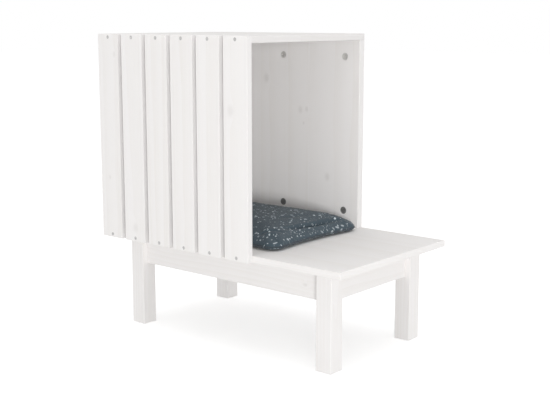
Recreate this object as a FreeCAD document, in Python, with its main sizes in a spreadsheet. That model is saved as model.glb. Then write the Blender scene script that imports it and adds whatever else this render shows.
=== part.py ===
"""Cat house: a slatted, open-fronted box on a low bench, with a loose cushion inside.

Millimetres. +X runs from the slatted side to the solid side wall, +Y from the open front to
the back panel and +Z up. The origin lies on the ground, under the middle of the house and porch.
"""
import FreeCAD, Part
import collections
import math
import os
import Sketcher

# Driving dimensions, each with the face or piece it measures.
SIZES = {
    "overall_width": 360.0,  # outer face of the slats to outer face of the side wall
    "overall_length": 600.0,  # front edge of the porch to the rear of the house
    "overall_height": 600.0,  # ground to the top of the roof
    "house_depth": 400.0,  # open front to the rear of the house
    "floor_height": 200.0,  # ground to the upper face of the bench top
    "bench_thickness": 13.0,
    "roof_thickness": 13.0,
    "side_thickness": 16.0,
    "back_thickness": 16.0,
    "slat_thickness": 13.0,
    "slat_gap": 9.8,
    "slat_count": 6,
    "edge_round": 1.0,  # rounding along every sawn edge
    "leg_section": 34.0,  # side of the square leg
    "leg_inset_side": 28.0,  # long edge of the bench top to the leg
    "leg_inset_end": 40.0,  # short edge of the bench top to the leg
    "apron_height": 58.0,
    "apron_thickness": 16.0,
    "apron_setback": 12.0,  # outer face of the leg to outer face of the apron
    "block_thickness": 16.0,
    "block_height": 40.0,
    "block_gap": 1.0,  # corner of the leg to the corner block, taken up by the hanger bolt
    "hole_play": 0.05,  # room around a screw, bolt or dowel in its hole
    "hole_spare": 0.5,  # depth of a blind hole beyond what sits in it
    "screw_diameter": 3.5,
    "screw_point": 4.0,
    "screw_head": 7.0,
    "screw_sink": 0.3,  # face of the slat to the top of the screw head
    "screw_slot_length": 4.0,
    "screw_slot_width": 0.9,
    "screw_slot_depth": 1.4,
    "slat_screw_length": 35.0,
    "pan_head_height": 2.4,
    "pan_head_top": 5.4,  # diameter of the flat on a pan head
    "pan_head_room": 0.8,  # room around a pan head in its counterbore
    "block_screw_length": 20.0,
    "block_screw_grip": 8.0,  # wood of the corner block under the screw head
    "block_screw_spread": 11.0,  # middle of the corner block to each screw
    "top_screw_length": 35.0,
    "top_screw_bite": 9.0,  # length of the screw inside the bench top
    "top_screw_reach": 120.0,  # middle of the long apron to each screw
    "cam_diameter": 15.0,
    "cam_depth": 12.0,
    "cam_sink": 0.2,  # face of the wall to the face of the cam
    "cam_play": 0.1,  # room around a cam, and around the bolt that it grips
    "cam_reach": 33.5,  # end of the wall to the middle of the cam
    "cam_inset": 37.0,  # edge of the wall to the first and last cam
    "side_cam_count": 3,
    "back_cam_count": 2,
    "cam_rim": 1.4,
    "cam_dish": 0.6,  # depth of the face inside the cam's rim
    "cam_slot_length": 8.0,
    "cam_slot_width": 1.6,
    "cam_slot_depth": 1.6,
    "bolt_thread": 6.0,
    "bolt_neck": 5.0,
    "bolt_collar": 7.8,
    "bolt_collar_length": 8.0,
    "bolt_head": 7.0,
    "bolt_head_length": 5.0,
    "bolt_bite": 9.0,  # length of the thread inside roof or bench top
    "dowel_diameter": 8.0,
    "dowel_length": 30.0,
    "dowel_bite": 9.0,  # length of the dowel inside roof or bench top
    "dowel_taper": 1.0,
    "hanger_diameter": 6.0,
    "hanger_bite": 20.0,  # length of the bolt inside the leg
    "hanger_end": 2.0,  # length of the bolt past its nut
    "washer_diameter": 16.0,
    "washer_thickness": 1.5,
    "nut_width": 10.0,  # across flats
    "nut_height": 5.0,
    "cushion_gap_left": 42.0,  # slats to the cushion
    "cushion_gap_right": 13.0,  # side wall to the cushion
    "cushion_gap_back": 27.0,  # back panel to the cushion
    "cushion_overhang": 18.0,  # how far the cushion stands out of the open front
    "cushion_lift": 0.3,  # upper face of the bench top to the cushion
    "cushion_height": 42.0,
    "cushion_seam": 8.0,  # underside of the cushion to its seam
    "cushion_corner": 26.0,  # radius of the corners in plan
    "cushion_draw": 7.0,  # how far each side draws in between its corners
    "cushion_foot": 9.0,  # seam to the flat underside, measured inwards
    "cushion_crown": 76.0,  # width of the flat on the crown
}

ROOT_TWO = math.sqrt(2)
ROOT_THREE = math.sqrt(3)

# Faces of the object along X, Y and Z, as expressions on the sheet.
SLAT_OUTER = "(-sizes.overall_width / 2)"
SLAT_INNER = f"({SLAT_OUTER} + sizes.slat_thickness)"
SIDE_INNER = "(sizes.overall_width / 2 - sizes.side_thickness)"
PORCH_FRONT = "(-sizes.overall_length / 2)"
REAR = "(sizes.overall_length / 2)"
HOUSE_FRONT = f"({REAR} - sizes.house_depth)"
BACK_INNER = f"({REAR} - sizes.back_thickness)"
FLOOR = "sizes.floor_height"
UNDERSIDE = "(sizes.floor_height - sizes.bench_thickness)"
CEILING = "(sizes.overall_height - sizes.roof_thickness)"

BOARD_WIDTH = "(sizes.overall_width - sizes.slat_thickness)"
BACK_WIDTH = f"({SIDE_INNER} - {SLAT_INNER})"
ROOM_HEIGHT = f"({CEILING} - {FLOOR})"
ROOM_MIDDLE = f"(({CEILING} + {FLOOR}) / 2)"
SLAT_HEIGHT = f"(sizes.overall_height - {UNDERSIDE})"
SLAT_PITCH = "((sizes.house_depth + sizes.slat_gap) / sizes.slat_count)"
SLAT_WIDTH = f"({SLAT_PITCH} - sizes.slat_gap)"

# The bench frame is centred under the bench top, which stops short of the slats.
FRAME_MIDDLE = "(sizes.slat_thickness / 2)"
FRAME_X = f"({BOARD_WIDTH} / 2 - sizes.leg_inset_side)"
FRAME_Y = "(sizes.overall_length / 2 - sizes.leg_inset_end)"
BLOCK_MIDDLE = f"({UNDERSIDE} - sizes.block_height / 2)"

# Corner block, measured in from the outer corner of its leg.
APRON_INNER = "(sizes.apron_setback + sizes.apron_thickness)"
BLOCK_NEAR = f"(2 * sizes.leg_section + sizes.block_gap * {ROOT_TWO} - {APRON_INNER})"
BLOCK_FAR = f"({BLOCK_NEAR} + sizes.block_thickness * {ROOT_TWO})"
BLOCK_SCREW = f"(({BLOCK_NEAR} + {BLOCK_FAR}) / 2)"
BLOCK_SEAT = f"({APRON_INNER} + sizes.block_screw_grip)"
BLOCK_SCREW_LEVELS = ("(-sizes.block_screw_spread)", "sizes.block_screw_spread")

# Radii of the fasteners and of the holes that they sit in.
SCREW_RADIUS = "(sizes.screw_diameter / 2)"
SCREW_HOLE = f"({SCREW_RADIUS} + sizes.hole_play)"
HEAD_RADIUS = "(sizes.screw_head / 2)"
HEAD_DEPTH = f"({HEAD_RADIUS} - {SCREW_RADIUS})"
COUNTERBORE = f"({HEAD_RADIUS} + sizes.pan_head_room)"
HANGER_RADIUS = "(sizes.hanger_diameter / 2)"
HANGER_HOLE = f"({HANGER_RADIUS} + sizes.hole_play)"
DOWEL_RADIUS = "(sizes.dowel_diameter / 2)"
DOWEL_HOLE = f"({DOWEL_RADIUS} + sizes.hole_play)"
THREAD_HOLE = "(sizes.bolt_thread / 2 + sizes.hole_play)"
CAM_RADIUS = "(sizes.cam_diameter / 2)"
BOLT_CHANNEL = "(max(sizes.bolt_collar; sizes.bolt_head) / 2 + sizes.cam_play)"

ALONG_X = FreeCAD.Vector(1, 0, 0)
ALONG_Y = FreeCAD.Vector(0, 1, 0)
ALONG_Z = FreeCAD.Vector(0, 0, 1)

# The four corners of the bench: name, side along X, end along Y and quarter turns about +Z.
CORNERS = (
    ("front_left", -1, -1, 0),
    ("front_right", 1, -1, 1),
    ("rear_right", 1, 1, 2),
    ("rear_left", -1, 1, 3),
)

# A house wall along its own axes: it runs along X, its inner face is at Y = 0 and Z is up.
Wall = collections.namedtuple("Wall", "label prefix corner quarter_turns run thickness cam_count")
SIDE_WALL = Wall(
    "side_wall", "side", (SIDE_INNER, REAR), 3, "sizes.house_depth", "sizes.side_thickness", "side_cam_count"
)
BACK_PANEL = Wall(
    "back_panel", "back", (SLAT_INNER, BACK_INNER), 0, BACK_WIDTH, "sizes.back_thickness", "back_cam_count"
)

# Sections of the cushion below and above its seam, and the highest degree of its skin.
FOOT_STEPS = 3
CROWN_STEPS = 6
SKIN_DEGREE = 2

doc = FreeCAD.newDocument("cat_house")


def fill_sheet():
    """Puts every driving dimension into the sheet, under its own alias."""
    sheet = doc.addObject("Spreadsheet::Sheet", "sizes")
    for row, (name, value) in enumerate(SIZES.items(), start=1):
        sheet.set(f"A{row}", name)
        sheet.set(f"B{row}", str(value))
        sheet.setAlias(f"B{row}", name)
    doc.recompute()


def count_of(name):
    """A count from the sheet, as a whole number."""
    return int(doc.sizes.get(name))


def origin_feature(body, role):
    """The body's own origin plane or axis with this role."""
    return next(feature for feature in body.Origin.OriginFeatures if feature.Role == role)


def bind_place(thing, place):
    """Binds the three coordinates of a placement to expressions."""
    for letter, expression in zip("xyz", place):
        thing.setExpression(f".Placement.Base.{letter}", expression)


def new_body(label, place, quarter_turns=0):
    """An empty body at a place, turned about +Z by quarter turns."""
    body = doc.addObject("PartDesign::Body", label)
    body.Label = label
    turn = FreeCAD.Rotation(ALONG_Z, 90 * quarter_turns)
    body.Placement = FreeCAD.Placement(FreeCAD.Vector(), turn)
    bind_place(body, place)
    return body


def outline_sketch(body, corners):
    """A closed outline on the body's XY plane, each corner tied to two expressions."""
    sketch = body.newObject("Sketcher::SketchObject", "outline")
    sketch.AttachmentSupport = (origin_feature(body, "XY_Plane"), [""])
    sketch.MapMode = "FlatFace"
    count = len(corners)
    turns = [2 * math.pi * index / count for index in range(count)]
    rough = [FreeCAD.Vector(math.cos(turn), math.sin(turn), 0) for turn in turns]
    for index in range(count):
        sketch.addGeometry(Part.LineSegment(rough[index], rough[(index + 1) % count]), False)
    for index in range(count):
        sketch.addConstraint(Sketcher.Constraint("Coincident", index, 2, (index + 1) % count, 1))
    for index, corner in enumerate(corners):
        for kind, expression, value in zip(("DistanceX", "DistanceY"), corner, rough[index]):
            number = sketch.addConstraint(Sketcher.Constraint(kind, -1, 1, index, 1, value))
            sketch.setExpression(f"Constraints[{number}]", expression)
    return sketch


def sawn_block(label, place, corners, height, quarter_turns=0):
    """A piece of wood: a sawn outline of some height, with its edges rounded over."""
    body = new_body(label, place, quarter_turns)
    pad = body.newObject("PartDesign::Pad", "sawn")
    pad.Profile = outline_sketch(body, corners)
    pad.setExpression("Length", height)
    doc.recompute()
    rounding = body.newObject("PartDesign::Fillet", "rounded")
    rounding.Base = (pad, [])
    rounding.UseAllEdges = True
    rounding.setExpression("Radius", "sizes.edge_round")
    return body


def board(label, place, extents, quarter_turns=0):
    """A rectangular board with one corner at the body's origin."""
    width, depth, height = extents
    corners = (("0", "0"), (width, "0"), (width, depth), ("0", depth))
    return sawn_block(label, place, corners, height, quarter_turns)


def primitive(body, kind, start, direction, **lengths):
    """Adds a primitive that starts at a point and runs along a direction."""
    feature = body.newObject(f"PartDesign::{kind}", kind)
    turn = FreeCAD.Rotation(ALONG_Z, direction)
    feature.Placement = FreeCAD.Placement(FreeCAD.Vector(), turn)
    bind_place(feature, start)
    for name, expression in lengths.items():
        feature.setExpression(name, expression)


def rod(body, start, direction, radius, length):
    """Adds a round rod."""
    primitive(body, "AdditiveCylinder", start, direction, Radius=radius, Height=length)


def taper(body, start, direction, radii, length):
    """Adds a round taper, from the first radius to the second."""
    first, last = radii
    primitive(body, "AdditiveCone", start, direction, Radius1=first, Radius2=last, Height=length)


def bore(body, start, direction, radius, depth):
    """Drills a round hole."""
    primitive(body, "SubtractiveCylinder", start, direction, Radius=radius, Height=depth)


def countersink(body, start, direction, radii, depth):
    """Cuts the seat of a countersunk head, from the first radius to the second."""
    first, last = radii
    primitive(body, "SubtractiveCone", start, direction, Radius1=first, Radius2=last, Height=depth)


def cut_cross(body, start, depth_axis, fastener):
    """Cuts a driver cross into a face, inwards along +X (axis 0) or +Y (axis 1)."""
    flat_axes = [axis for axis in range(3) if axis != depth_axis]
    for long_axis in flat_axes:
        extents = [f"sizes.{fastener}_slot_width"] * 3
        extents[long_axis] = f"sizes.{fastener}_slot_length"
        extents[depth_axis] = f"sizes.{fastener}_slot_depth"
        corner = list(start)
        for axis in flat_axes:
            corner[axis] = f"({start[axis]} - {extents[axis]} / 2)"
        length, width, height = extents
        primitive(body, "SubtractiveBox", corner, ALONG_Z, Length=length, Width=width, Height=height)


def repeat_along(body, role, pitch, count):
    """Repeats the whole body along one of its axes."""
    doc.recompute()
    pattern = body.newObject("PartDesign::LinearPattern", "row")
    pattern.TransformMode = "Whole shape"
    pattern.Direction = (origin_feature(body, role), [""])
    pattern.Mode = "Spacing"
    pattern.setExpression("Offset", pitch)
    pattern.setExpression("Occurrences", count)
    body.Tip = pattern


def mirror_across(body, *roles):
    """Mirrors the whole body across its planes, one after the other."""
    for role in roles:
        doc.recompute()
        mirrored = body.newObject("PartDesign::Mirrored", "twin")
        mirrored.TransformMode = "Whole shape"
        mirrored.MirrorPlane = (origin_feature(body, role), [""])
        body.Tip = mirrored


def cam_pitch(wall):
    """Distance from one cam of a wall to the next."""
    return f"(({wall.run} - 2 * sizes.cam_inset) / (sizes.{wall.cam_count} - 1))"


def cam_stations(wall):
    """Places of the cams along a wall."""
    return [f"(sizes.cam_inset + {index} * {cam_pitch(wall)})" for index in range(count_of(wall.cam_count))]


def dowel_stations(wall):
    """Places of the dowels along a wall, midway between its cams."""
    return [f"({station} + {cam_pitch(wall)} / 2)" for station in cam_stations(wall)[:-1]]


def row_places(wall, stations):
    """Places along the middle of a wall's thickness, in the frame of the whole object."""
    corner_x, corner_y = wall.corner
    middle = f"{wall.thickness} / 2"
    if wall.quarter_turns:
        return [(f"({corner_x} + {middle})", f"({corner_y} - {along})") for along in stations]
    return [(f"({corner_x} + {along})", f"({corner_y} + {middle})") for along in stations]


def slat_middle(index):
    """Distance from the open front to the middle of a slat."""
    return f"({index} * {SLAT_PITCH} + {SLAT_WIDTH} / 2)"


def drill_for_house(body, corner, thickness, face, direction):
    """Drills roof or bench top for the slat screws, cam bolts and dowels that enter it."""
    corner_x, corner_y = corner
    screw_depth = "(sizes.slat_screw_length + sizes.screw_sink - sizes.slat_thickness + sizes.hole_spare)"
    for index in range(count_of("slat_count")):
        along = f"({HOUSE_FRONT} + {slat_middle(index)} - {corner_y})"
        bore(body, ("0", along, f"({thickness} / 2)"), ALONG_X, SCREW_HOLE, screw_depth)
    for wall in (SIDE_WALL, BACK_PANEL):
        for stations, radius, bite in (
            (cam_stations(wall), THREAD_HOLE, "sizes.bolt_bite"),
            (dowel_stations(wall), DOWEL_HOLE, "sizes.dowel_bite"),
        ):
            for x, y in row_places(wall, stations):
                start = (f"({x} - {corner_x})", f"({y} - {corner_y})", face)
                bore(body, start, direction, radius, f"({bite} + sizes.hole_spare)")


def top_screw_places():
    """Places of the screws that hold the bench top, from the middle of the bench frame."""
    side = f"({FRAME_X} - sizes.apron_setback - sizes.apron_thickness / 2)"
    end = f"({FRAME_Y} - sizes.apron_setback - sizes.apron_thickness / 2)"
    places = [("0", f"({sign} * {end})") for sign in (-1, 1)]
    for sign in (-1, 1):
        for way in (-1, 1):
            places.append((f"({sign} * {side})", f"({way} * sizes.top_screw_reach)"))
    return places


def build_bench_top():
    """The board that is both house floor and porch."""
    extents = (BOARD_WIDTH, "sizes.overall_length", "sizes.bench_thickness")
    body = board("bench_top", (SLAT_INNER, PORCH_FRONT, UNDERSIDE), extents)
    upper_face = "sizes.bench_thickness"
    drill_for_house(body, (SLAT_INNER, PORCH_FRONT), upper_face, upper_face, ALONG_Z * -1)
    for x, y in top_screw_places():
        start = (f"({BOARD_WIDTH} / 2 + {x})", f"(sizes.overall_length / 2 + {y})", "0")
        bore(body, start, ALONG_Z, SCREW_HOLE, "(sizes.top_screw_bite + sizes.hole_spare)")
    return body


def build_roof():
    """The roof board, over both walls and screwed to the slats."""
    extents = (BOARD_WIDTH, "sizes.house_depth", "sizes.roof_thickness")
    body = board("roof_board", (SLAT_INNER, HOUSE_FRONT, CEILING), extents)
    drill_for_house(body, (SLAT_INNER, HOUSE_FRONT), "sizes.roof_thickness", "0", ALONG_Z)
    return body


def build_slat(index):
    """One upright slat, drilled and countersunk at both ends."""
    place = (SLAT_OUTER, f"({HOUSE_FRONT} + {index} * {SLAT_PITCH})", UNDERSIDE)
    body = board(f"slat_{index + 1}", place, ("sizes.slat_thickness", SLAT_WIDTH, SLAT_HEIGHT))
    sink = f"(sizes.screw_sink + {HEAD_DEPTH})"
    for level in ("(sizes.bench_thickness / 2)", f"({SLAT_HEIGHT} - sizes.roof_thickness / 2)"):
        start = ("0", f"({SLAT_WIDTH} / 2)", level)
        bore(body, start, ALONG_X, SCREW_HOLE, "sizes.slat_thickness")
        countersink(body, start, ALONG_X, (f"({SCREW_HOLE} + {sink})", SCREW_HOLE), sink)
    return body


def build_slat_screws(label, level):
    """A row of countersunk screws, one through the same end of every slat."""
    front = f"({SLAT_OUTER} + sizes.screw_sink)"
    body = new_body(label, (front, f"({HOUSE_FRONT} + {slat_middle(0)})", level))
    point = "(sizes.slat_screw_length - sizes.screw_point)"
    taper(body, ("0", "0", "0"), ALONG_X, (HEAD_RADIUS, SCREW_RADIUS), HEAD_DEPTH)
    rod(body, (HEAD_DEPTH, "0", "0"), ALONG_X, SCREW_RADIUS, f"({point} - {HEAD_DEPTH})")
    taper(body, (point, "0", "0"), ALONG_X, (SCREW_RADIUS, "0"), "sizes.screw_point")
    cut_cross(body, ("0", "0", "0"), 0, "screw")
    repeat_along(body, "Y_Axis", SLAT_PITCH, "sizes.slat_count")
    return body


def build_wall(wall):
    """A house wall, with cam pockets in its inner face and holes in its lower and upper ends."""
    extents = (wall.run, wall.thickness, ROOM_HEIGHT)
    body = board(wall.label, (*wall.corner, FLOOR), extents, wall.quarter_turns)
    middle = f"({wall.thickness} / 2)"
    pocket_radius = f"({CAM_RADIUS} + sizes.cam_play)"
    pocket_depth = "(sizes.cam_sink + sizes.cam_depth + sizes.cam_play)"
    dowel_depth = "(sizes.dowel_length - sizes.dowel_bite + sizes.hole_spare)"
    lower_end = ("0", ALONG_Z, "sizes.cam_reach")
    upper_end = (ROOM_HEIGHT, ALONG_Z * -1, f"({ROOM_HEIGHT} - sizes.cam_reach)")
    for end, inwards, cam_level in (lower_end, upper_end):
        for along in cam_stations(wall):
            bore(body, (along, "0", cam_level), ALONG_Y, pocket_radius, pocket_depth)
            bore(body, (along, middle, end), inwards, BOLT_CHANNEL, "sizes.cam_reach")
        for along in dowel_stations(wall):
            bore(body, (along, middle, end), inwards, DOWEL_HOLE, dowel_depth)
    return body


def fixing_body(wall, piece):
    """An empty body on a wall's own axes, at half the height of the room."""
    return new_body(f"{wall.prefix}_{piece}", (*wall.corner, ROOM_MIDDLE), wall.quarter_turns)


def build_cams(wall):
    """Cam locks, in a row under the roof and its twin over the floor."""
    body = fixing_body(wall, "cam_locks")
    along = "sizes.cam_inset"
    level = f"({ROOM_HEIGHT} / 2 - sizes.cam_reach)"
    face = (along, "sizes.cam_sink", level)
    rod(body, face, ALONG_Y, CAM_RADIUS, "sizes.cam_depth")
    bore(body, face, ALONG_Y, f"({CAM_RADIUS} - sizes.cam_rim)", "sizes.cam_dish")
    cut_cross(body, (along, "(sizes.cam_sink + sizes.cam_dish)", level), 1, "cam")
    head_hole = "(sizes.bolt_head / 2 + sizes.cam_play)"
    head_drop = "(sizes.bolt_head_length / 2 + sizes.cam_play)"
    hole_end = (along, f"({wall.thickness} / 2)", f"({level} - {head_drop})")
    bore(body, hole_end, ALONG_Z, head_hole, f"({CAM_RADIUS} + {head_drop})")
    repeat_along(body, "X_Axis", cam_pitch(wall), f"sizes.{wall.cam_count}")
    mirror_across(body, "XY_Plane")
    return body


def build_cam_bolts(wall):
    """Bolts that stand in roof and bench top and end in the cams."""
    body = fixing_body(wall, "cam_bolts")
    end = f"({ROOM_HEIGHT} / 2)"
    start = ("sizes.cam_inset", f"({wall.thickness} / 2)", end)
    down = ALONG_Z * -1
    head_reach = "(sizes.cam_reach - sizes.bolt_head_length / 2)"
    head_start = (*start[:2], f"({end} - {head_reach})")
    rod(body, start, ALONG_Z, "(sizes.bolt_thread / 2)", "sizes.bolt_bite")
    rod(body, start, down, "(sizes.bolt_collar / 2)", "sizes.bolt_collar_length")
    rod(body, start, down, "(sizes.bolt_neck / 2)", head_reach)
    rod(body, head_start, down, "(sizes.bolt_head / 2)", "sizes.bolt_head_length")
    repeat_along(body, "X_Axis", cam_pitch(wall), f"sizes.{wall.cam_count}")
    mirror_across(body, "XY_Plane")
    return body


def build_dowels(wall):
    """Dowels between the cams, partly in the wall and partly in roof or bench top."""
    body = fixing_body(wall, "dowels")
    axis = (dowel_stations(wall)[0], f"({wall.thickness} / 2)")
    low_end = f"({ROOM_HEIGHT} / 2 + sizes.dowel_bite - sizes.dowel_length)"
    straight = "(sizes.dowel_length - 2 * sizes.dowel_taper)"
    straight_start = f"({low_end} + sizes.dowel_taper)"
    tip_radius = f"({DOWEL_RADIUS} - sizes.dowel_taper)"
    taper(body, (*axis, low_end), ALONG_Z, (tip_radius, DOWEL_RADIUS), "sizes.dowel_taper")
    rod(body, (*axis, straight_start), ALONG_Z, DOWEL_RADIUS, straight)
    straight_end = f"({straight_start} + {straight})"
    taper(body, (*axis, straight_end), ALONG_Z, (DOWEL_RADIUS, tip_radius), "sizes.dowel_taper")
    repeat_along(body, "X_Axis", cam_pitch(wall), f"(sizes.{wall.cam_count} - 1)")
    mirror_across(body, "XY_Plane")
    return body


def build_leg(name, side, end):
    """One square leg, bored from its inner corner for the hanger bolt."""
    section = "sizes.leg_section"
    corner_x = f"({FRAME_MIDDLE} + {side} * ({FRAME_X} - {section} / 2) - {section} / 2)"
    corner_y = f"({end} * ({FRAME_Y} - {section} / 2) - {section} / 2)"
    body = board(f"leg_{name}", (corner_x, corner_y, "0"), (section, section, UNDERSIDE))
    inner_x = section if side < 0 else "0"
    inner_y = section if end < 0 else "0"
    into_leg = FreeCAD.Vector(side, end, 0)
    depth = "(sizes.hanger_bite + sizes.hole_spare)"
    bore(body, (inner_x, inner_y, BLOCK_MIDDLE), into_leg, HANGER_HOLE, depth)
    return body


def build_apron(name, along_y, sign):
    """One apron between two legs, bored for the top screws and the screws of the corner blocks.

    A long apron runs along Y at the side given by sign, a short one along X at that end.
    """
    thickness = "sizes.apron_thickness"
    height = "sizes.apron_height"
    run_reach, across_reach = (FRAME_Y, FRAME_X) if along_y else (FRAME_X, FRAME_Y)
    length = f"(2 * ({run_reach} - sizes.leg_section))"
    across = f"({sign} * ({across_reach} - sizes.apron_setback - {thickness} / 2) - {thickness} / 2)"

    def flat(across_value, along_value):
        """Puts a value across the apron and one along it in the order X, Y."""
        return (across_value, along_value) if along_y else (along_value, across_value)

    corner_x, corner_y = flat(across, f"(-{length} / 2)")
    place = (f"({FRAME_MIDDLE} + {corner_x})", corner_y, f"({UNDERSIDE} - {height})")
    body = board(name, place, (*flat(thickness, length), height))
    outwards = (ALONG_X if along_y else ALONG_Y) * sign
    inner_face = "0" if sign > 0 else thickness
    screw_depth = "(sizes.block_screw_length - sizes.block_screw_grip + sizes.hole_spare)"
    from_end = f"({BLOCK_SCREW} - sizes.leg_section)"
    for along in (from_end, f"({length} - {from_end})"):
        for offset in BLOCK_SCREW_LEVELS:
            level = f"({height} - sizes.block_height / 2 + {offset})"
            bore(body, (*flat(inner_face, along), level), outwards, SCREW_HOLE, screw_depth)
    seat = f"({height} + sizes.top_screw_bite - sizes.top_screw_length)"
    for offset in ("(-sizes.top_screw_reach)", "sizes.top_screw_reach") if along_y else ("0",):
        start = (*flat(f"({thickness} / 2)", f"({length} / 2 + {offset})"), "0")
        bore(body, start, ALONG_Z, COUNTERBORE, seat)
        bore(body, start, ALONG_Z, SCREW_HOLE, height)
    return body


def build_corner_block(name, side, end, quarter_turns):
    """One mitred block across a corner of the bench frame.

    Its own origin is at the outer corner of the leg, with X and Y running inwards along the aprons.
    """
    place = (
        f"({FRAME_MIDDLE} + {side} * {FRAME_X})",
        f"({end} * {FRAME_Y})",
        f"({UNDERSIDE} - sizes.block_height)",
    )
    face = APRON_INNER
    corners = ((face, BLOCK_NEAR), (BLOCK_NEAR, face), (BLOCK_FAR, face), (face, BLOCK_FAR))
    body = sawn_block(f"corner_block_{name}", place, corners, "sizes.block_height", quarter_turns)
    middle = "(sizes.block_height / 2)"
    leg_corner = ("sizes.leg_section", "sizes.leg_section", middle)
    through = "(sizes.block_gap + 2 * sizes.block_thickness)"
    bore(body, leg_corner, ALONG_X + ALONG_Y, HANGER_HOLE, through)
    clear = f"({BLOCK_FAR} - {face})"
    for offset in BLOCK_SCREW_LEVELS:
        level = f"({middle} + {offset})"
        for start, radius in ((face, SCREW_HOLE), (BLOCK_SEAT, COUNTERBORE)):
            bore(body, (start, BLOCK_SCREW, level), ALONG_X, radius, clear)
            bore(body, (BLOCK_SCREW, start, level), ALONG_Y, radius, clear)
    return body


def pan_screw(body, seat, direction, length):
    """Adds a pan-head screw, seated at a point and driven along a direction."""
    shank = f"({length} - sizes.screw_point)"
    point = [f"({start} + {int(step)} * {shank})" for start, step in zip(seat, direction)]
    taper(body, seat, direction * -1, (HEAD_RADIUS, "(sizes.pan_head_top / 2)"), "sizes.pan_head_height")
    rod(body, seat, direction, SCREW_RADIUS, shank)
    taper(body, point, direction, (SCREW_RADIUS, "0"), "sizes.screw_point")


def build_block_screws():
    """Screws from the corner blocks into the aprons, four to a block."""
    body = new_body("block_screws", (FRAME_MIDDLE, "0", BLOCK_MIDDLE))
    for level in BLOCK_SCREW_LEVELS:
        side_seat = (f"({BLOCK_SEAT} - {FRAME_X})", f"({BLOCK_SCREW} - {FRAME_Y})", level)
        end_seat = (f"({BLOCK_SCREW} - {FRAME_X})", f"({BLOCK_SEAT} - {FRAME_Y})", level)
        pan_screw(body, side_seat, ALONG_X * -1, "sizes.block_screw_length")
        pan_screw(body, end_seat, ALONG_Y * -1, "sizes.block_screw_length")
    mirror_across(body, "YZ_Plane", "XZ_Plane")
    return body


def build_top_screws():
    """Screws that run up through the aprons and hold the bench top."""
    seat = f"({UNDERSIDE} + sizes.top_screw_bite - sizes.top_screw_length)"
    body = new_body("top_screws", (FRAME_MIDDLE, "0", seat))
    for x, y in top_screw_places():
        pan_screw(body, (x, y, "0"), ALONG_Z, "sizes.top_screw_length")
    return body


def hanger_place(distance):
    """A point on the front left hanger bolt, inwards from the inner corner of the leg."""
    step = f"{distance} / {ROOT_TWO}"
    return (f"(sizes.leg_section - {FRAME_X} + {step})", f"(sizes.leg_section - {FRAME_Y} + {step})", "0")


def build_hanger_hardware():
    """Hanger bolts, washers and nuts at the four corner blocks."""
    inwards = ALONG_X + ALONG_Y
    washer_seat = "(sizes.block_gap + sizes.block_thickness)"
    nut_seat = f"({washer_seat} + sizes.washer_thickness)"
    bolt_length = f"(sizes.hanger_bite + {nut_seat} + sizes.nut_height + sizes.hanger_end)"
    nut_corner = f"(sizes.nut_width / {ROOT_THREE})"
    middle = (FRAME_MIDDLE, "0", BLOCK_MIDDLE)
    bolts, washers, nuts = [new_body(f"hanger_{piece}", middle) for piece in ("bolts", "washers", "nuts")]
    rod(bolts, hanger_place("(-sizes.hanger_bite)"), inwards, HANGER_RADIUS, bolt_length)
    washer_place = hanger_place(washer_seat)
    rod(washers, washer_place, inwards, "(sizes.washer_diameter / 2)", "sizes.washer_thickness")
    bore(washers, washer_place, inwards, HANGER_HOLE, "sizes.washer_thickness")
    nut_place = hanger_place(nut_seat)
    primitive(nuts, "AdditivePrism", nut_place, inwards, Circumradius=nut_corner, Height="sizes.nut_height")
    bore(nuts, nut_place, inwards, HANGER_HOLE, "sizes.nut_height")
    for body in (bolts, washers, nuts):
        mirror_across(body, "YZ_Plane", "XZ_Plane")
    return [bolts, washers, nuts]


def cushion_outline(half_width, half_depth, radius, draw, level):
    """The cushion's plan at a level: sides that draw in as arcs between rounded corners."""
    cut = radius * (1 - 1 / ROOT_TWO)
    edges = []
    for turn in range(4):
        reach, other = (half_depth, half_width) if turn % 2 else (half_width, half_depth)
        flat = (
            (reach, radius - other),
            (reach - draw, 0),
            (reach, other - radius),
            (reach - cut, other - cut),
            (reach - radius, other),
        )
        spin = FreeCAD.Rotation(ALONG_Z, 90 * turn)
        points = [spin.multVec(FreeCAD.Vector(x, y, level)) for x, y in flat]
        edges.append(Part.Arc(*points[:3]).toShape())
        edges.append(Part.Arc(*points[2:]).toShape())
    return Part.Wire(edges)


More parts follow.
